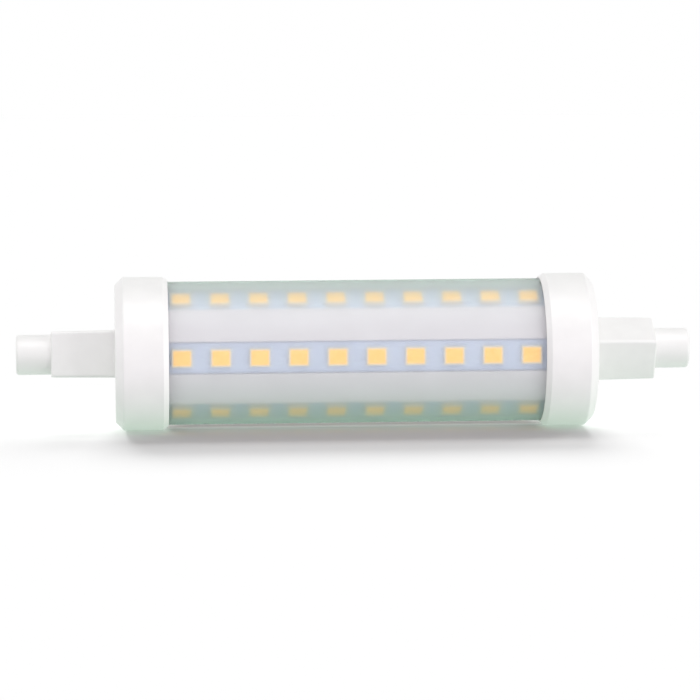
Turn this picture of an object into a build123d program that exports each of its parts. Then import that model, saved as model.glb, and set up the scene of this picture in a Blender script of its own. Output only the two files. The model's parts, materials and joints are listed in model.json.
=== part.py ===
from build123d import *

import os
from math import cos, pi, radians, sin, sqrt

# Double-ended linear LED lamp, in millimetres. X runs along the lamp, Z is up and the origin is the
# middle of the lamp on its axis. Strip 1 of the LED strips faces the front, along -Y.

# Overall length, over both noses
overall_length = 118.0

# End caps: a cup for the tube, a drafted square stem and a round nose with a recessed contact
cap_wall = 0.8
cap_length = 9.2
cap_floor = 1.6
cap_chamfer = 1.4
lip_length = 0.9
lip_drop = 0.6
stem_length = 11.1
stem_root_side = 8.25
stem_tip_side = 8.0
stem_edge_chamfer = 0.35
stem_tip_chamfer = 0.25
left_stem_turn = -5.0
right_stem_turn = 28.5
nose_diameter = 7.0
nose_length = 6.1
nose_chamfer = 0.4
nose_wall = 1.3

# Contacts: plated rivets, sunk flush with the floor of the nose recess
contact_depth = 1.9
contact_head = 0.7
contact_land = 0.35
contact_web = 1.2
contact_shank_diameter = 1.6
contact_tail = 2.0
contact_clearance = 0.05

# Frosted tube
tube_diameter = 25.0
tube_wall = 1.0
tube_clearance = 0.1

# Carrier: an extrusion with one groove for each LED strip and a bore for the driver
strip_count = 6
strip_front_angle = 180.0
carrier_clearance = 0.34
carrier_web = 1.8
carrier_edge_chamfer = 0.15
groove_clearance = 0.1

# LED strips
board_width = 5.2
board_thickness = 1.0
board_sink = 0.5
led_pitch = 6.72
led_row_shift = -0.1
led_length = 3.5
led_width = 3.0
led_height = 0.7
led_rim = 0.25
phosphor_depth = 0.45

# Link board, which the tongues of the strips pass through
link_thickness = 1.0
link_hole_diameter = 6.0
tongue_width = 3.0
tongue_clearance = 0.1

# Insulating sleeve and driver board
sleeve_clearance = 0.1
sleeve_wall = 0.4
sleeve_overhang = 1.5
driver_thickness = 1.0
driver_clearance = 0.1
pad_length = 4.0
part_gap = 1.0
part_headroom = 0.5

# Parts on top of the driver board, in a row from the left
fuse_length = 6.0
fuse_diameter = 2.4
fuse_waist = 0.2
fuse_end_length = 1.2
film_length = 7.5
film_width = 4.0
film_edge_chamfer = 0.5
electrolytic_length = 12.0
electrolytic_groove_place = 1.8
electrolytic_groove = 0.5
electrolytic_lead_side = 0.5
electrolytic_lead_spacing = 3.5
electrolytic_lead_reach = 0.9
choke_diameter = 6.0
choke_headroom = 1.2
choke_flange = 0.9
choke_hub_diameter = 2.8
choke_winding_recess = 0.4

# Parts under the driver board
bridge_length = 4.7
bridge_width = 3.9
bridge_height = 1.7
bridge_leg_pitch = 2.5
chip_length = 4.9
chip_width = 3.9
chip_height = 1.5
chip_leg_pitch = 1.27
leg_width = 0.45
leg_reach = 1.0
leg_thickness = 0.25
leg_level = 0.6
package_standoff = 0.1

# Wires
lead_diameter = 1.2
lead_lift = 0.05
strip_lead_diameter = 1.0
strip_lead_spacing = 8.0

# Places along the lamp, as distances from the middle
nose_end = overall_length / 2
stem_tip = nose_end - nose_length
cap_face = stem_tip - stem_length
cap_rim = cap_face - cap_length
cap_floor_at = cap_face - cap_floor
recess_floor = nose_end - contact_depth
web_face = recess_floor - contact_head
web_back = web_face - contact_web
contact_end = web_back - contact_tail
carrier_left = -cap_floor_at
carrier_right = cap_floor_at - link_thickness
carrier_length = carrier_right - carrier_left

# Radii, from the tube inward
tube_radius = tube_diameter / 2
tube_bore = tube_radius - tube_wall
cap_bore = tube_radius + tube_clearance
cap_radius = cap_bore + cap_wall
nose_radius = nose_diameter / 2
recess_radius = nose_radius - nose_wall
groove_width = board_width + 2 * groove_clearance
carrier_corner = tube_bore - carrier_clearance
groove_edge = sqrt(carrier_corner**2 - (groove_width / 2) ** 2)
half_step = pi / strip_count
carrier_apothem = groove_edge * cos(half_step) + groove_width / 2 * sin(half_step)
board_face = groove_edge - board_sink
groove_floor = board_face - board_thickness
carrier_bore = groove_floor - carrier_web
sleeve_radius = carrier_bore - sleeve_clearance
sleeve_bore = sleeve_radius - sleeve_wall

# The mains leads lie straight along the axis onto the driver board, which is as wide as the sleeve
# allows at its lower face
driver_top = -lead_diameter / 2 - lead_lift
driver_bottom = driver_top - driver_thickness
driver_width = 2 * (sqrt(sleeve_bore**2 - driver_bottom**2) - driver_clearance)


def headroom(half_width):
    """Height from the top of the driver board to the sleeve, that far to the side of the axis."""
    return sqrt(sleeve_bore**2 - half_width**2) - driver_top


electrolytic_diameter = headroom(0) - part_headroom
film_height = headroom(film_width / 2) - part_headroom
choke_height = headroom(choke_diameter / 2) - choke_headroom

# The parts on top stand in a row with a pad for the wires at each end
electrolytic_row_length = electrolytic_lead_reach + electrolytic_length
row_lengths = [fuse_length, film_length, electrolytic_row_length, choke_diameter]
driver_length = sum(row_lengths) + (len(row_lengths) + 1) * part_gap + 2 * pad_length
driver_end = driver_length / 2
row_starts = [pad_length + part_gap - driver_end]
for part_length in row_lengths[:-1]:
    row_starts.append(row_starts[-1] + part_length + part_gap)
fuse_start, film_start, electrolytic_start, choke_start = row_starts
film_middle = film_start + film_length / 2
choke_middle = choke_start + choke_diameter / 2
sleeve_length = driver_length + 2 * sleeve_overhang

# As many LEDs as the window between the caps takes
led_count = int((2 * cap_rim - led_length) / led_pitch) + 1
led_centres = [(place - (led_count - 1) / 2) * led_pitch + led_row_shift for place in range(led_count)]


def lengthwise(side):
    """Plane through the axis, with x outward along the lamp on that side and y up."""
    return Plane((0, 0, 0), x_dir=(side, 0, 0), z_dir=(0, -side, 0))


def across(x, side=1, turn=0.0):
    """Plane square to the axis, facing outward on that side and turned about the axis."""
    return Plane((x, 0, 0), x_dir=(0, cos(radians(turn)), sin(radians(turn))), z_dir=(side, 0, 0))


def strip_plane(number, distance):
    """Plane parallel to LED strip `number`, that far from the axis, with x along the lamp."""
    angle = radians(strip_front_angle + (number - 1) * 360 / strip_count)
    return Plane((0, 0, 0), x_dir=(1, 0, 0), z_dir=(0, cos(angle), sin(angle))).offset(distance)


def save(builder, name):
    """Label a finished piece and write it."""
    builder.part.label = name
    export_step(builder.part, f"parts/{name}.step")


def make_end_cap(name, side, stem_turn):
    """Moulded end cap: a cup with a sloped lip, a drafted square stem and a round nose, hollow inside."""
    face = across(side * cap_face, side, stem_turn)
    outward = Axis((0, 0, 0), (side, 0, 0))
    with BuildPart() as cap:
        with BuildSketch(lengthwise(side)):
            with BuildLine():
                Polyline(
                    (cap_floor_at, 0),
                    (cap_face, 0),
                    (cap_face, cap_radius - cap_chamfer),
                    (cap_face - cap_chamfer, cap_radius),
                    (cap_rim + lip_length, cap_radius),
                    (cap_rim, cap_radius - lip_drop),
                    (cap_rim, cap_bore),
                    (cap_floor_at, cap_bore),
                    close=True,
                )
            make_face()
        revolve(axis=Axis.X)
        with BuildSketch(face) as stem_root:
            Rectangle(stem_root_side, stem_root_side)
            chamfer(stem_root.vertices(), stem_edge_chamfer)
        with BuildSketch(face.offset(stem_length)) as stem_end:
            Rectangle(stem_tip_side, stem_tip_side)
            chamfer(stem_end.vertices(), stem_edge_chamfer)
        loft(ruled=True)
        chamfer(cap.faces().sort_by(outward)[-1].edges(), stem_tip_chamfer)
        with BuildSketch(face.offset(stem_length)):
            Circle(nose_radius)
        extrude(amount=nose_length)
        chamfer(cap.faces().sort_by(outward)[-1].edges(), nose_chamfer)
        # Core of the stem and nose, from the cup up to the web that carries the contact
        with BuildSketch(across(side * cap_floor_at, side)):
            Circle(recess_radius)
        extrude(amount=web_back - cap_floor_at, mode=Mode.SUBTRACT)
        # Recess for the holder's plunger, seat of the contact's head and hole for its shank
        with BuildSketch(across(side * recess_floor, side)):
            Circle(recess_radius)
        extrude(amount=contact_depth, mode=Mode.SUBTRACT)
        with BuildSketch(across(side * web_face, side)):
            Circle(recess_radius - contact_land)
        extrude(amount=contact_head, mode=Mode.SUBTRACT)
        with BuildSketch(across(side * web_back, side)):
            Circle(contact_shank_diameter / 2 + contact_clearance)
        extrude(amount=contact_web, mode=Mode.SUBTRACT)
    save(cap, name)


def make_contact(name, side):
    """Contact rivet: a flat head, a shank through the web and a tail for the lead."""
    shank = contact_shank_diameter / 2
    head = recess_radius - contact_land - contact_clearance
    with BuildPart() as contact:
        with BuildSketch(lengthwise(side)):
            with BuildLine():
                Polyline(
                    (recess_floor, 0),
                    (recess_floor, head),
                    (web_face, head),
                    (web_face, shank),
                    (contact_end, shank),
                    (contact_end, 0),
                    close=True,
                )
            make_face()
        revolve(axis=Axis.X)
    save(contact, name)


def make_led_strip(number):
    """One LED strip: its board, the packages on it and the phosphor in their windows."""
    with BuildPart() as board:
        with BuildSketch(strip_plane(number, groove_floor)):
            with Locations(((carrier_left + carrier_right) / 2, 0)):
                Rectangle(carrier_length, board_width)
            with Locations((carrier_right + link_thickness / 2, 0)):
                Rectangle(link_thickness, tongue_width)
        extrude(amount=board_thickness)
    save(board, f"led_board_{number}")

    places = [(centre, 0) for centre in led_centres]
    window_length = led_length - 2 * led_rim
    window_width = led_width - 2 * led_rim
    window_floor = strip_plane(number, board_face + led_height - phosphor_depth)
    with BuildPart() as housings:
        with BuildSketch(strip_plane(number, board_face)):
            with Locations(*places):
                Rectangle(led_length, led_width)
        extrude(amount=led_height)
        with BuildSketch(window_floor):
            with Locations(*places):
                Rectangle(window_length, window_width)
        extrude(amount=phosphor_depth, mode=Mode.SUBTRACT)
    save(housings, f"led_housings_{number}")

    with BuildPart() as phosphors:
        with BuildSketch(window_floor):
            with Locations(*places):
                Rectangle(window_length, window_width)
        extrude(amount=phosphor_depth)
    save(phosphors, f"led_phosphors_{number}")


def make_mains_lead(name, side):
    """Lead from the driver's pad along the axis to a contact's tail."""
    pad_inner_end = driver_end - pad_length
    with BuildPart() as lead:
        with BuildSketch(across(side * pad_inner_end, side)):
            Circle(lead_diameter / 2)
        extrude(amount=contact_end - pad_inner_end)
    save(lead, name)


def make_package(name, middle, length, width, height, leg_pitch, legs_per_side):
    """Flat moulded package under the driver board, with gull-wing legs on both long sides."""
    leg_places = [middle + (place - (legs_per_side - 1) / 2) * leg_pitch for place in range(legs_per_side)]
    arm_centre = (width + leg_reach) / 2
    foot_centre = (width - leg_thickness) / 2 + leg_reach
    with BuildPart() as package:
        with BuildSketch(Plane.XY.offset(driver_bottom - package_standoff)):
            with Locations((middle, 0)):
                Rectangle(length, width)
        extrude(amount=-height)
        with BuildSketch(Plane.XY.offset(driver_bottom - leg_level)):
            with Locations(*[(place, edge * arm_centre) for place in leg_places for edge in (-1, 1)]):
                Rectangle(leg_width, leg_reach)
        extrude(amount=leg_thickness)
        with BuildSketch(Plane.XY.offset(driver_bottom - leg_level)):
            with Locations(*[(place, edge * foot_centre) for place in leg_places for edge in (-1, 1)]):
                Rectangle(leg_width, leg_thickness)
        extrude(amount=leg_level)
    save(package, name)


os.makedirs("parts", exist_ok=True)

with BuildPart() as diffuser_tube:
    with BuildSketch(across(-cap_floor_at)):
        Circle(tube_radius)
        Circle(tube_bore, mode=Mode.SUBTRACT)
    extrude(amount=2 * cap_floor_at)
save(diffuser_tube, "diffuser_tube")

make_end_cap("left_end_cap", -1, left_stem_turn)
make_end_cap("right_end_cap", 1, right_stem_turn)
make_contact("left_contact", -1)
make_contact("right_contact", 1)

with BuildPart() as led_carrier:
    with BuildSketch(across(carrier_left)) as carrier_section:
        RegularPolygon(carrier_apothem, strip_count, major_radius=False, rotation=strip_front_angle)
        with PolarLocations(groove_floor + carrier_apothem / 2, strip_count, start_angle=strip_front_angle):
            Rectangle(carrier_apothem, groove_width, mode=Mode.SUBTRACT)
        land_corners = carrier_section.vertices().sort_by_distance((0, 0))[-2 * strip_count :]
        chamfer(land_corners, carrier_edge_chamfer)
        Circle(carrier_bore, mode=Mode.SUBTRACT)
    extrude(amount=carrier_length)
save(led_carrier, "led_carrier")

for strip in range(1, strip_count + 1):
    make_led_strip(strip)

with BuildPart() as link_board:
    with BuildSketch(across(carrier_right)):
        Circle(carrier_corner)
        Circle(link_hole_diameter / 2, mode=Mode.SUBTRACT)
        with PolarLocations(groove_floor + board_thickness / 2, strip_count, start_angle=strip_front_angle):
            Rectangle(
                board_thickness + 2 * tongue_clearance,
                tongue_width + 2 * tongue_clearance,
                mode=Mode.SUBTRACT,
            )
    extrude(amount=link_thickness)
save(link_board, "link_board")

with BuildPart() as insulating_sleeve:
    with BuildSketch(across(-sleeve_length / 2)):
        Circle(sleeve_radius)
        Circle(sleeve_bore, mode=Mode.SUBTRACT)
    extrude(amount=sleeve_length)
save(insulating_sleeve, "insulating_sleeve")

with BuildPart() as driver_board:
    with BuildSketch(Plane.XY.offset(driver_bottom)):
        Rectangle(driver_length, driver_width)
    extrude(amount=driver_thickness)
save(driver_board, "driver_board")

# Fusible resistor: a leadless bead that lies on the board on its two metal ends
fuse_radius = fuse_diameter / 2
fuse_level = driver_top + fuse_radius
with BuildPart() as fuse_resistor:
    with BuildSketch(across(fuse_start)):
        with Locations((0, fuse_level)):
            Circle(fuse_radius)
    extrude(amount=fuse_end_length)
    with BuildSketch(across(fuse_start + fuse_end_length)):
        with Locations((0, fuse_level)):
            Circle(fuse_radius - fuse_waist)
    extrude(amount=fuse_length - 2 * fuse_end_length)
    with BuildSketch(across(fuse_start + fuse_length - fuse_end_length)):
        with Locations((0, fuse_level)):
            Circle(fuse_radius)
    extrude(amount=fuse_end_length)
save(fuse_resistor, "fuse_resistor")

with BuildPart() as film_capacitor:
    with BuildSketch(Plane.XY.offset(driver_top)):
        with Locations((film_middle, 0)):
            Rectangle(film_length, film_width)
    extrude(amount=film_height)
    chamfer(film_capacitor.edges().filter_by(Axis.Z), film_edge_chamfer)
save(film_capacitor, "film_capacitor")

# Electrolytic capacitor: a can lying along the board, crimped near the end its square leads come out of
can_radius = electrolytic_diameter / 2
can_axis = driver_top + can_radius
can_start = electrolytic_start + electrolytic_lead_reach
can_end = can_start + electrolytic_length
crimp = can_start + electrolytic_groove_place
can_lead_x = electrolytic_start + electrolytic_lead_side / 2
with BuildPart() as electrolytic_capacitor:
    with BuildSketch(Plane.XZ):
        with BuildLine():
            Polyline(
                (can_start, can_axis),
                (can_start, can_axis + can_radius),
                (crimp - electrolytic_groove, can_axis + can_radius),
                (crimp, can_axis + can_radius - electrolytic_groove),
                (crimp + electrolytic_groove, can_axis + can_radius),
                (can_end, can_axis + can_radius),
                (can_end, can_axis),
                close=True,
            )
        make_face()
    revolve(axis=Axis((0, 0, can_axis), (1, 0, 0)))
    for lead_y in (-electrolytic_lead_spacing / 2, electrolytic_lead_spacing / 2):
        with BuildLine() as can_lead:
            Polyline(
                (can_lead_x, lead_y, driver_top),
                (can_lead_x, lead_y, can_axis),
                (can_start, lead_y, can_axis),
            )
        with BuildSketch(Plane((can_lead_x, lead_y, driver_top))):
            Rectangle(electrolytic_lead_side, electrolytic_lead_side)
        sweep(path=can_lead.wires()[0], transition=Transition.RIGHT)
save(electrolytic_capacitor, "electrolytic_capacitor")

# Choke: a drum core standing on the board, with its winding between the flanges
with BuildPart() as choke_core:
    with BuildSketch(Plane.XY.offset(driver_top)):
        with Locations((choke_middle, 0)):
            Circle(choke_diameter / 2)
    extrude(amount=choke_flange)
    with BuildSketch(Plane.XY.offset(driver_top + choke_flange)):
        with Locations((choke_middle, 0)):
            Circle(choke_hub_diameter / 2)
    extrude(amount=choke_height - 2 * choke_flange)
    with BuildSketch(Plane.XY.offset(driver_top + choke_height - choke_flange)):
        with Locations((choke_middle, 0)):
            Circle(choke_diameter / 2)
    extrude(amount=choke_flange)
save(choke_core, "choke_core")

with BuildPart() as choke_winding:
    with BuildSketch(Plane.XY.offset(driver_top + choke_flange)):
        with Locations((choke_middle, 0)):
            Circle(choke_diameter / 2 - choke_winding_recess)
            Circle(choke_hub_diameter / 2, mode=Mode.SUBTRACT)
    extrude(amount=choke_height - 2 * choke_flange)
save(choke_winding, "choke_winding")

make_package(
    "bridge_rectifier", film_middle, bridge_length, bridge_width, bridge_height, bridge_leg_pitch, 2
)
make_package("driver_chip", choke_middle, chip_length, chip_width, chip_height, chip_leg_pitch, 4)

make_mains_lead("left_mains_lead", -1)
make_mains_lead("right_mains_lead", 1)

strip_lead_level = driver_top + lead_lift + strip_lead_diameter / 2
with BuildPart() as strip_leads:
    with BuildSketch(across(driver_end - pad_length)):
        with Locations((0, strip_lead_level)):
            with GridLocations(strip_lead_spacing, 0, 2, 1):
                Circle(strip_lead_diameter / 2)
    extrude(amount=carrier_right - driver_end + pad_length)
save(strip_leads, "strip_leads")
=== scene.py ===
"""Looks of a double-ended linear LED lamp, built round its solids. Metres, Z up, the lamp along X."""

import json
import math

import bpy
from mathutils import Matrix, Vector


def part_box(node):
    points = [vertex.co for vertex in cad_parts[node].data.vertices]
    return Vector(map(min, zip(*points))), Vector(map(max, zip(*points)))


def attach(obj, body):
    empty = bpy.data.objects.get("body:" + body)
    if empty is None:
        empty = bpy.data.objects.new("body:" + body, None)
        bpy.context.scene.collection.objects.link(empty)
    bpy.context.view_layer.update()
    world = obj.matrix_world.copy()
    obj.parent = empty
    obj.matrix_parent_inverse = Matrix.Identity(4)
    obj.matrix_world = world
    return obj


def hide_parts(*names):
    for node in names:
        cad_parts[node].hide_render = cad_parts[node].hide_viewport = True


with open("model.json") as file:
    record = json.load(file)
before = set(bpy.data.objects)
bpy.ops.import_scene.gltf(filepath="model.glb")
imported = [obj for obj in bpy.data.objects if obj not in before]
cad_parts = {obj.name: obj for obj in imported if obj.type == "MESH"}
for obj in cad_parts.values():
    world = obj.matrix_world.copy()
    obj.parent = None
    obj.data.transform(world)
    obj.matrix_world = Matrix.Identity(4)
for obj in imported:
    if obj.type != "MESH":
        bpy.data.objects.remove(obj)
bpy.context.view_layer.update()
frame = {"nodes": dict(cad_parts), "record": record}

MM = 0.001
SIDES = {"left": -1, "right": 1}
OUTER_NODES = {"left_end_cap", "right_end_cap", "diffuser_tube", "left_contact", "right_contact"}

# Sizes read from the solids
cap_low, cap_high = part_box("right_end_cap")
CAP_RIM = cap_low.x
NOSE_END = cap_high.x
CAP_RADIUS = cap_high.z
tube_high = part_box("diffuser_tube")[1]
TUBE_SEAT = tube_high.x
TUBE_RADIUS = tube_high.z
CONTACT_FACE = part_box("right_contact")[1].x

# Sizes of the end caps
CAP_LENGTH = 9.2 * MM
CAP_CHAMFER = 1.4 * MM
CHAMFER_ANGLE = 45
CHAMFER_ROUND = 0.5 * MM
LIP_LENGTH = 0.9 * MM
LIP_DROP = 0.6 * MM
LIP_ROUND = 0.12 * MM
BORE_GAP = 0.1 * MM
STEM_LENGTH = 11.1 * MM
STEM_ROOT_HALF = 8.25 / 2 * MM
STEM_TIP_HALF = 8.0 / 2 * MM
STEM_EDGE = 0.5 * MM
STEM_TIP_ROUND = 0.3 * MM
ROOT_FILLET = 0.25 * MM
STEM_TURNS = {"left": -5.0, "right": 28.5}
NOSE_RADIUS = 3.5 * MM
NOSE_ROUND = 0.5 * MM
RECESS_RADIUS = 2.2 * MM
RECESS_EDGE = 0.15 * MM
CONTACT_HEAD = 0.7 * MM
CONTACT_LAND = 0.35 * MM
CONTACT_WEB = 1.2 * MM
SHANK_RADIUS = 0.85 * MM

# Sizes of the tube
TUBE_WALL = 1.0 * MM
TUBE_EDGE = 0.2 * MM

# How finely the meshes are divided round the axis and along the tube
STEM_FLAT_STEPS = 24
STEM_EDGE_STEPS = 8
STEM_EDGE_SPREAD = math.radians(5)
TUBE_STEPS = 192
TUBE_LENGTH_STEPS = 16
SHARP_ANGLE = math.radians(35)

# Moulded and coated surfaces: size of their patches and grain, height of the grain, unevenness of the gloss
PATCH = 4 * MM
GRAIN = 0.25 * MM
GRAIN_HEIGHT = 0.004 * MM
GLOSS_PATCH = 0.6
GLOSS_SPREAD = 0.04

# Values of a noise between which the gloss, and the tones, go from the first to the second
GLOSS_SPAN = (0.25, 0.75)
TONE_SPAN = (0.3, 0.7)
WHOLE_SPAN = (0.0, 1.0)

# Frosted tube: its surface, and the tint and density per metre of what its wall takes out
FROST_PATCH = 6 * MM
FROST_TONES = ((0.97, 0.975, 0.975), (0.985, 0.99, 0.99))
FROST_SPECKLE = 1.5 * MM
FROST_ROUGHNESS = (0.42, 0.48)
FROST_CLEAR = 0.97
FROST_IOR = 1.46
WALL_TINT = (0.27, 0.90, 0.64)
WALL_DENSITY = 80.0

# The other surfaces, by slot of the record: two tones, roughness, and values of their own.
# The phosphor's faint emission is a painted glow: it stands in part for its fluorescence, and brightens the
# LEDs whatever light falls on them.
SURFACES = {
    "cap_white": ((0.86, 0.855, 0.845), (0.89, 0.885, 0.875), 0.38, {}),
    "contact_plate": ((0.62, 0.60, 0.56), (0.72, 0.70, 0.66), 0.3, {"metallic": 1.0}),
    "carrier_white": ((0.825, 0.755, 0.81), (0.865, 0.795, 0.85), 0.6, {"specular_ior_level": 0.2}),
    "strip_board": ((0.65, 0.69, 0.87), (0.69, 0.73, 0.91), 0.4, {}),
    # The housings' white is tinted peach as painted light, for the phosphor's glow falling on them
    "led_housing": ((0.92, 0.79, 0.63), (0.96, 0.83, 0.67), 0.5, {}),
    "led_phosphor": (
        (0.96, 0.57, 0.14),
        (1.0, 0.65, 0.20),
        0.3,
        # Painted glow of the phosphor: a fixed orange emission
        {"patch": 1 * MM, "emission_color": (1.0, 0.42, 0.18, 1), "emission_strength": 0.36},
    ),
    "sleeve_film": ((0.80, 0.80, 0.76), (0.85, 0.85, 0.81), 0.4, {}),
    "driver_laminate": ((0.06, 0.26, 0.11), (0.09, 0.32, 0.15), 0.45, {}),
    "resistor_body": ((0.22, 0.34, 0.28), (0.28, 0.40, 0.34), 0.5, {}),
    "film_resin": ((0.40, 0.10, 0.04), (0.48, 0.13, 0.06), 0.25, {}),
    "can_sleeve": ((0.05, 0.06, 0.09), (0.07, 0.08, 0.11), 0.3, {}),
    "ferrite": ((0.06, 0.06, 0.065), (0.09, 0.09, 0.095), 0.6, {}),
    "copper_winding": ((0.52, 0.20, 0.07), (0.62, 0.27, 0.10), 0.3, {"metallic": 1.0}),
    "package_black": ((0.025, 0.025, 0.025), (0.035, 0.035, 0.035), 0.5, {}),
    "lead_insulation": ((0.78, 0.78, 0.74), (0.84, 0.84, 0.80), 0.35, {}),
}

# Camera, fitted to the edges and LED rows in the photograph
IMAGE_SIZE = 700
FOCAL_PIXELS = 3590.0
SENSOR_WIDTH = 36.0
CAMERA_DISTANCE = 0.630
CAMERA_ELEVATION = math.radians(4.8)
CAMERA_YAW = math.radians(3.81)
CAMERA_ROLL = math.radians(0.64)
LAMP_CENTRE_PIXEL = (353.7, 351.23)

# Floor: its white, and the light that it sends up to the lamp, near it and further off
FLOOR_SIZE = 6.0
FLOOR_WHITE = (0.86, 0.86, 0.86)
FLOOR_FILL_NEAR = (0.55, 0.69, 0.585)
FLOOR_FILL_FAR = (1.07, 1.0, 1.07)
NEAR_FLOOR = (8 * MM, 28 * MM)

# A painted shadow on the floor right behind the tube: how much of the floor's white is left in it, and where
# it fades out, across and along
PAINTED_SHADOW = 0.38
PAINTED_SHADOW_FRONT = (6 * MM, -1 * MM)
PAINTED_SHADOW_BACK = (11 * MM, 27 * MM)
PAINTED_SHADOW_ENDS = (28 * MM, 42 * MM)

# Surround: how bright it looks, and how much light it gives
WORLD_SEEN = 1.0
WORLD_LIGHT = 0.3

# Soft distant lights for the outside, for what is in the tube and for the floor alone:
# azimuth from the camera's side (+ is right), elevation and width in degrees, strength
OUTER_LIGHTS = {
    "left_side": (-110, 0, 40, 0.17),
    "left_high": (-70, 42, 40, 0.17),
    "top": (0, 68, 40, 0.39),
    "right_high": (70, 42, 40, 0.14),
    "right_side": (55, 0, 40, 0.24),
    "right_low": (80, -25, 40, 0.08),
}
INNER_LIGHTS = {
    "inner_top": (0, 75, 130, 0.385),
    "inner_right": (45, 8, 130, 0.37),
    "inner_back": (190, 10, 130, 0.3),
}
FLOOR_LIGHTS = {
    "floor_low": (180, 31, 20, 0.74),
    "floor_high": (180, 56, 20, 0.30),
    "floor_right": (145, 30, 30, 0.27),
    "floor_left": (240, 56, 25, 0.12),
}


def arc(x, size, radius, start, end, steps, edge=None):
    """Rings along a rounded corner, from one angle to another; 0 points outward along X.

    A ring is its place along X, its radius or half width, and the rounding of its edges, or None for a circle.
    """
    rings = []
    for step in range(steps + 1):
        angle = math.radians(start + (end - start) * step / steps)
        outward = radius * math.sin(angle)
        ring_edge = None if edge is None else edge + outward
        rings.append((x + radius * math.cos(angle), size + outward, ring_edge))
    return rings


def straight(start, end, steps):
    """Rings between two others, so that a long wall is divided evenly."""
    rings = []
    for step in range(1, steps):
        share = step / steps
        rings.append(tuple(None if a is None else a + (b - a) * share for a, b in zip(start, end)))
    return rings


def ring_radius(size, edge, angle):
    """Distance from the axis of a ring at an angle: a circle, or a square with rounded edges."""
    if edge is None:
        return size
    turned = abs((angle + math.pi / 4) % (math.pi / 2) - math.pi / 4)
    centre = size - edge
    if math.tan(turned) <= centre / size:
        return size / math.cos(turned)
    along = centre * (math.cos(turned) + math.sin(turned))
    return along + math.sqrt(max(edge**2 - 2 * centre**2 + along**2, 0.0))


def ring_angles(count_between, count_edge, half_edge):
    """Angles round a ring, closer together at the four edges of the square stem."""
    angles = []
    for quarter in range(4):
        middle = math.pi / 4 + quarter * math.pi / 2
        for step in range(count_edge):
            angles.append(middle - half_edge + 2 * half_edge * step / count_edge)
        span = math.pi / 2 - 2 * half_edge
        for step in range(count_between):
            angles.append(middle + half_edge + span * step / count_between)
    return angles


def ring_mesh(name, rings, angles, side=1, turn=0.0):
    """A closed skin through a loop of rings about the lamp's axis."""
    points = []
    for x, size, edge in rings:
        for angle in angles:
            radius = ring_radius(size, edge, angle)
            place = angle + math.radians(turn)
            points.append((side * x, radius * math.cos(place), radius * math.sin(place)))
    count = len(angles)
    faces = []
    for ring in range(len(rings)):
        here = ring * count
        after = (ring + 1) % len(rings) * count
        for spot in range(count):
            beside = (spot + 1) % count
            face = [here + spot, here + beside, after + beside, after + spot]
            faces.append(face if side > 0 else face[::-1])
    mesh = bpy.data.meshes.new(name)
    mesh.from_pydata(points, [], faces)
    mesh.polygons.foreach_set("use_smooth", [True] * len(faces))
    mesh.set_sharp_from_angle(angle=SHARP_ANGLE)
    piece = bpy.data.objects.new(name, mesh)
    bpy.context.scene.collection.objects.link(piece)
    weighted = piece.modifiers.new("even_normals", "WEIGHTED_NORMAL")
    weighted.keep_sharp = True
    return piece


def lip_rings():
    """The sloped lip of the cup, with both its edges rounded."""
    slope = math.degrees(math.atan2(LIP_DROP, LIP_LENGTH))
    inner_reach = LIP_ROUND * math.tan(math.radians(90 - slope) / 2)
    outer_reach = LIP_ROUND * math.tan(math.radians(slope) / 2)
    inner_place = CAP_RIM + LIP_ROUND
    inner_size = CAP_RADIUS - LIP_DROP - inner_reach
    outer_place = CAP_RIM + LIP_LENGTH + outer_reach
    outer_size = CAP_RADIUS - LIP_ROUND
    rings = arc(inner_place, inner_size, LIP_ROUND, 180, 90 + slope, steps=4)
    rings += arc(outer_place, outer_size, LIP_ROUND, 90 + slope, 90, steps=4)
    return rings


def cup_rings(face):
    """The outside of the cup, from its rim to the face that carries the stem."""
    setback = CHAMFER_ROUND * math.tan(math.radians(CHAMFER_ANGLE / 2))
    corner = (face - CAP_CHAMFER - setback, CAP_RADIUS, None)
    face_size = CAP_RADIUS - CAP_CHAMFER - setback
    rings = lip_rings()
    rings += straight(rings[-1], corner, steps=4)
    rings += arc(corner[0], CAP_RADIUS - CHAMFER_ROUND, CHAMFER_ROUND, 90, CHAMFER_ANGLE, steps=5)
    rings += arc(face - CHAMFER_ROUND, face_size, CHAMFER_ROUND, CHAMFER_ANGLE, 0, steps=5)
    return rings


def stem_rings(face, tip):
    """The drafted square stem, from the fillet at its root to its rounded tip."""
    root_size = STEM_ROOT_HALF + ROOT_FILLET
    root_edge = STEM_EDGE + ROOT_FILLET
    corner = (tip - STEM_TIP_ROUND, STEM_TIP_HALF, STEM_EDGE)
    tip_size = STEM_TIP_HALF - STEM_TIP_ROUND
    tip_edge = STEM_EDGE - STEM_TIP_ROUND
    rings = arc(face + ROOT_FILLET, root_size, ROOT_FILLET, 180, 270, steps=3, edge=root_edge)
    rings += straight(rings[-1], corner, steps=6)
    rings += arc(corner[0], tip_size, STEM_TIP_ROUND, 90, 0, steps=5, edge=tip_edge)
    return rings


def nose_rings(tip):
    """The round nose, with the edge of its recess."""
    start = (tip, NOSE_RADIUS, None)
    corner = (NOSE_END - NOSE_ROUND, NOSE_RADIUS, None)
    recess_size = RECESS_RADIUS + RECESS_EDGE
    rings = [start] + straight(start, corner, steps=4)
    rings += arc(corner[0], NOSE_RADIUS - NOSE_ROUND, NOSE_ROUND, 90, 0, steps=8)
    rings += arc(NOSE_END - RECESS_EDGE, recess_size, RECESS_EDGE, 0, -90, steps=4)
    return rings


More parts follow.
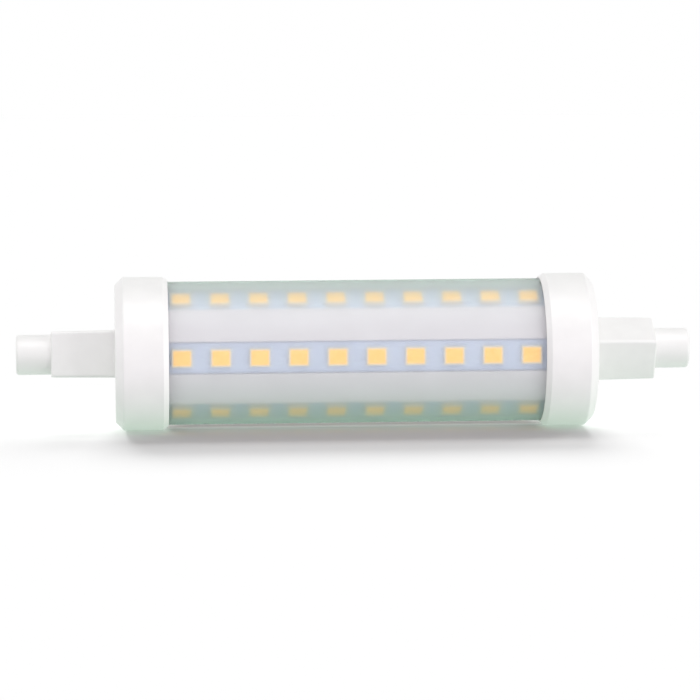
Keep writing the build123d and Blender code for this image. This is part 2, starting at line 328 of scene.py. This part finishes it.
def cap_rings():
    """The end cap's section as a loop of rings: outside from the rim to the nose, then back inside."""
    bore = TUBE_RADIUS + BORE_GAP
    face = CAP_RIM + CAP_LENGTH
    tip = face + STEM_LENGTH
    web_face = CONTACT_FACE - CONTACT_HEAD
    web_back = web_face - CONTACT_WEB
    seat = RECESS_RADIUS - CONTACT_LAND
    return [
        (CAP_RIM, bore, None),
        *cup_rings(face),
        *stem_rings(face, tip),
        *nose_rings(tip),
        (CONTACT_FACE, RECESS_RADIUS, None),
        (CONTACT_FACE, seat, None),
        (web_face, seat, None),
        (web_face, SHANK_RADIUS, None),
        (web_back, SHANK_RADIUS, None),
        (web_back, RECESS_RADIUS, None),
        (TUBE_SEAT, RECESS_RADIUS, None),
        (TUBE_SEAT, bore, None),
    ]


def tube_rings():
    """The frosted tube's section as a loop of rings, with rounded ends."""
    end = TUBE_SEAT - TUBE_EDGE
    outer = TUBE_RADIUS - TUBE_EDGE
    inner = TUBE_RADIUS - TUBE_WALL + TUBE_EDGE
    left_outer = arc(-end, outer, TUBE_EDGE, 180, 90, steps=3)
    right_outer = arc(end, outer, TUBE_EDGE, 90, 0, steps=3)
    right_inner = arc(end, inner, TUBE_EDGE, 0, -90, steps=3)
    left_inner = arc(-end, inner, TUBE_EDGE, -90, -180, steps=3)
    outside = straight(left_outer[-1], right_outer[0], TUBE_LENGTH_STEPS)
    bore = straight(right_inner[-1], left_inner[0], TUBE_LENGTH_STEPS)
    return left_outer + outside + right_outer + right_inner + bore + left_inner


class Surface:
    """A node material under construction: a Principled shader and the nodes that feed it."""

    def __init__(self, name):
        self.material = bpy.data.materials.new(name)
        self.material.use_nodes = True
        self.tree = self.material.node_tree
        self.shader = self.tree.nodes["Principled BSDF"]
        self.output = self.tree.nodes["Material Output"]
        self.place = self.node("ShaderNodeTexCoord").outputs["Object"]

    def node(self, kind):
        """A new node of the material."""
        return self.tree.nodes.new(kind)

    def link(self, start, end):
        """Join an output to an input."""
        self.tree.links.new(start, end)

    def set(self, **values):
        """Plain values on the shader's own sockets, by their names in small letters."""
        for key, value in values.items():
            socket = key.replace("_", " ").title().replace("Ior", "IOR")
            self.shader.inputs[socket].default_value = value

    def noise(self, size, detail=3.0):
        """Noise with features of about that size, in metres, from 0 to 1."""
        made = self.node("ShaderNodeTexNoise")
        made.inputs["Scale"].default_value = 1 / size
        made.inputs["Detail"].default_value = detail
        self.link(self.place, made.inputs["Vector"])
        return made.outputs["Fac"]

    def ramp(self, source, first, second, span):
        """A colour that goes from one to another as a source crosses a span."""
        ramp = self.node("ShaderNodeValToRGB")
        start, end = ramp.color_ramp.elements
        start.position, end.position = span
        start.color, end.color = (*first, 1), (*second, 1)
        self.link(source, ramp.inputs["Fac"])
        return ramp.outputs["Color"]

    def colours(self, source, first, second, span=TONE_SPAN):
        """Base colour that goes from one colour to another with a source."""
        self.link(self.ramp(source, first, second, span), self.shader.inputs["Base Color"])

    def vary(self, noise, socket, low, high):
        """A shader value that follows a noise between two limits."""
        spread = self.node("ShaderNodeMapRange")
        spread.inputs["From Min"].default_value, spread.inputs["From Max"].default_value = GLOSS_SPAN
        spread.inputs["To Min"].default_value = low
        spread.inputs["To Max"].default_value = high
        self.link(noise, spread.inputs["Value"])
        self.link(spread.outputs["Result"], self.shader.inputs[socket])

    def bump(self, source, height):
        """Fine relief of that height, in metres."""
        relief = self.node("ShaderNodeBump")
        relief.inputs["Distance"].default_value = height
        relief.inputs["Strength"].default_value = 1.0
        self.link(source, relief.inputs["Height"])
        self.link(relief.outputs["Normal"], self.shader.inputs["Normal"])


def mottled(name, first, second, rough, patch=PATCH, **values):
    """A moulded, coated or pressed surface: two close tones, uneven gloss and a fine grain."""
    surface = Surface(name)
    surface.colours(surface.noise(patch), first, second)
    gloss = surface.noise(patch * GLOSS_PATCH, detail=5)
    surface.vary(gloss, "Roughness", rough - GLOSS_SPREAD, rough + GLOSS_SPREAD)
    surface.bump(surface.noise(GRAIN, detail=2), GRAIN_HEIGHT)
    surface.set(**values)
    return surface.material


def frosted():
    """Frosted tube: rough clear wall with a milky share and a faint green in its depth."""
    surface = Surface("frosted_tube")
    surface.colours(surface.noise(FROST_PATCH), *FROST_TONES)
    surface.vary(surface.noise(FROST_SPECKLE, detail=4), "Roughness", *FROST_ROUGHNESS)
    surface.set(transmission_weight=FROST_CLEAR, ior=FROST_IOR)
    wall = surface.node("ShaderNodeVolumeAbsorption")
    wall.inputs["Color"].default_value = (*WALL_TINT, 1)
    wall.inputs["Density"].default_value = WALL_DENSITY
    surface.link(wall.outputs["Volume"], surface.output.inputs["Volume"])
    return surface.material


MATERIALS = {"frosted_tube": frosted()}
for slot, (first, second, rough, values) in SURFACES.items():
    MATERIALS[slot] = mottled(slot, first, second, rough, **values)


def paint(piece, slot):
    """Give a piece the material of one slot of the record."""
    piece.data.materials.clear()
    piece.data.materials.append(MATERIALS[slot])


def dress(piece, slot):
    """Paint a piece of the scene with the material of one slot."""
    paint(piece, slot)


def calculate(tree, operation, *values):
    """What a Math node makes of some numbers."""
    step = tree.nodes.new("ShaderNodeMath")
    step.operation = operation
    for value, socket in zip(values, step.inputs):
        tree.links.new(value, socket)
    return step.outputs["Value"]


def rise(tree, value, start, end):
    """A share that goes softly from 0 to 1 as a number goes from start to end."""
    spread = tree.nodes.new("ShaderNodeMapRange")
    spread.interpolation_type = "SMOOTHSTEP"
    spread.inputs["From Min"].default_value = start
    spread.inputs["From Max"].default_value = end
    tree.links.new(value, spread.inputs["Value"])
    return spread.outputs["Result"]


def between(tree, share, low, high):
    """A number that goes from one value to another with a share from 0 to 1."""
    spread = tree.nodes.new("ShaderNodeMapRange")
    spread.inputs["To Min"].default_value = low
    spread.inputs["To Max"].default_value = high
    tree.links.new(share, spread.inputs["Value"])
    return spread.outputs["Result"]


def seen_directly(tree):
    """1 where the camera, a reflection or a refraction looks at a surface, 0 where it only gives light."""
    path = tree.nodes.new("ShaderNodeLightPath")
    seen = path.outputs["Is Camera Ray"]
    for other in ("Is Glossy Ray", "Is Transmission Ray"):
        seen = calculate(tree, "MAXIMUM", seen, path.outputs[other])
    return seen


def floor_paper():
    """White paper that sends a pale green light up to the lamp.

    It has a painted shadow right behind the tube, where its white is darkened.
    """
    surface = Surface("floor_paper")
    tree = surface.tree
    place = surface.node("ShaderNodeSeparateXYZ")
    surface.link(surface.place, place.inputs["Vector"])
    along, across = place.outputs["X"], place.outputs["Y"]
    # Painted shadow: a share that is 0 on the floor right behind the tube and 1 where the floor keeps its full
    # white
    beyond_painted_shadow = rise(tree, calculate(tree, "ABSOLUTE", along), *PAINTED_SHADOW_ENDS)
    for edge in (PAINTED_SHADOW_FRONT, PAINTED_SHADOW_BACK):
        beyond_painted_shadow = calculate(tree, "MAXIMUM", beyond_painted_shadow, rise(tree, across, *edge))
    seen = seen_directly(tree)
    # The floor's white where it is seen, darkened by the painted shadow behind the tube
    white = calculate(tree, "MULTIPLY", seen, between(tree, beyond_painted_shadow, PAINTED_SHADOW, 1.0))
    surface.colours(white, (0, 0, 0), FLOOR_WHITE, WHOLE_SPAN)
    far = rise(tree, calculate(tree, "ABSOLUTE", across), *NEAR_FLOOR)
    fill = surface.ramp(far, FLOOR_FILL_NEAR, FLOOR_FILL_FAR, WHOLE_SPAN)
    surface.link(fill, surface.shader.inputs["Emission Color"])
    surface.link(between(tree, seen, 1.0, 0.0), surface.shader.inputs["Emission Strength"])
    surface.set(roughness=0.9, specular_ior_level=0.0)
    surface.material.cycles.emission_sampling = "NONE"
    return surface.material


def make_floor():
    """A floor that takes the lamp's shadow, and has a painted shadow right behind the tube."""
    low = -CAP_RADIUS
    half = FLOOR_SIZE / 2
    mesh = bpy.data.meshes.new("floor")
    corners = [(-half, -half, low), (half, -half, low), (half, half, low), (-half, half, low)]
    mesh.from_pydata(corners, [], [(0, 1, 2, 3)])
    floor = bpy.data.objects.new("floor", mesh)
    bpy.context.scene.collection.objects.link(floor)
    mesh.materials.append(floor_paper())
    return floor


def make_world():
    """A surround that looks white and gives an even, dimmer light."""
    world = bpy.data.worlds.new("studio")
    world.use_nodes = True
    bpy.context.scene.world = world
    tree = world.node_tree
    background = tree.nodes["Background"]
    background.inputs["Color"].default_value = (1, 1, 1, 1)
    strength = between(tree, seen_directly(tree), WORLD_LIGHT, WORLD_SEEN)
    tree.links.new(strength, background.inputs["Strength"])


def make_light(name, azimuth, elevation, width, strength):
    """A soft light from far off; at strength 1, a colour that faces it renders as it is written."""
    light = bpy.data.lights.new(name, "SUN")
    light.energy = strength * math.pi
    light.angle = math.radians(width)
    lamp = bpy.data.objects.new(name, light)
    bpy.context.scene.collection.objects.link(lamp)
    around = math.radians(azimuth)
    above = math.radians(elevation)
    source = Vector((
        math.sin(around) * math.cos(above),
        -math.cos(around) * math.cos(above),
        math.sin(above),
    ))
    lamp.rotation_euler = source.to_track_quat("Z", "Y").to_euler()
    return lamp


def reach(name, pieces, state):
    """A light's reach: some pieces alone, or all but those pieces."""
    group = bpy.data.collections.new(name)
    for piece in pieces:
        group.objects.link(piece)
    for member in group.collection_objects:
        member.light_linking.link_state = state
    return group


def make_lights(floor, tube, inside):
    """Lights for the outside, wide ones for what the tube's wall softens, and the floor's own.

    Each group has what it lights and what throws its shadows. The floor's lights come from behind, so their
    shadow falls to the front, and the end caps throw none of it, because the photograph's fades there.
    """
    groups = (
        (
            OUTER_LIGHTS,
            reach("outside", [floor, *inside], "EXCLUDE"),
            reach("all_but_floor", [floor], "EXCLUDE"),
        ),
        (
            INNER_LIGHTS,
            reach("inside", inside, "INCLUDE"),
            reach("all_but_tube", [tube], "EXCLUDE"),
        ),
        (
            FLOOR_LIGHTS,
            reach("floor_alone", [floor], "INCLUDE"),
            reach("middle", [tube, *inside], "INCLUDE"),
        ),
    )
    for lights, receivers, blockers in groups:
        for name, settings in lights.items():
            linking = make_light(name, *settings).light_linking
            linking.receiver_collection = receivers
            linking.blocker_collection = blockers


def make_camera():
    """The photograph's view: turned, tilted and rolled so that the lamp's middle falls on its pixel."""
    sin_yaw, cos_yaw = math.sin(CAMERA_YAW), math.cos(CAMERA_YAW)
    sin_up, cos_up = math.sin(CAMERA_ELEVATION), math.cos(CAMERA_ELEVATION)
    back = Vector((-sin_yaw, -cos_yaw * cos_up, cos_yaw * sin_up))
    right = Vector((cos_yaw, -sin_yaw * cos_up, sin_yaw * sin_up))
    up = Vector((0, sin_up, cos_up))
    rolled_right = right * math.cos(CAMERA_ROLL) - up * math.sin(CAMERA_ROLL)
    rolled_up = up * math.cos(CAMERA_ROLL) + right * math.sin(CAMERA_ROLL)
    across = (LAMP_CENTRE_PIXEL[0] - IMAGE_SIZE / 2) / FOCAL_PIXELS * CAMERA_DISTANCE
    above = -(LAMP_CENTRE_PIXEL[1] - IMAGE_SIZE / 2) / FOCAL_PIXELS * CAMERA_DISTANCE
    place = back * CAMERA_DISTANCE - rolled_right * across - rolled_up * above
    turn = Matrix((rolled_right, rolled_up, back)).transposed()
    lens = bpy.data.cameras.new("camera")
    lens.sensor_width = SENSOR_WIDTH
    lens.lens = FOCAL_PIXELS * SENSOR_WIDTH / IMAGE_SIZE
    camera = bpy.data.objects.new("camera", lens)
    bpy.context.scene.collection.objects.link(camera)
    camera.matrix_world = Matrix.Translation(place) @ turn.to_4x4()
    bpy.context.scene.camera = camera


for row in frame["record"]["subparts"]:
    paint(frame["nodes"][row["node"]], row["material_slot"])

cap_angles = ring_angles(STEM_FLAT_STEPS, STEM_EDGE_STEPS, STEM_EDGE_SPREAD)
for name, side in SIDES.items():
    cap = ring_mesh(f"{name}_cap_moulding", cap_rings(), cap_angles, side, STEM_TURNS[name])
    dress(cap, "cap_white")
    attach(cap, "root")
    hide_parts(f"{name}_end_cap")

tube_angles = [math.tau * step / TUBE_STEPS for step in range(TUBE_STEPS)]
tube = ring_mesh("frosted_tube", tube_rings(), tube_angles)
dress(tube, "frosted_tube")
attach(tube, "root")
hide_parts("diffuser_tube")
# Light reaches the strips straight through the wall, so only what is seen through it is blurred
tube.visible_diffuse = False

make_world()
inside = [node for name, node in frame["nodes"].items() if name not in OUTER_NODES]
make_lights(make_floor(), tube, inside)
make_camera()

bpy.context.scene.view_settings.view_transform = "Standard"
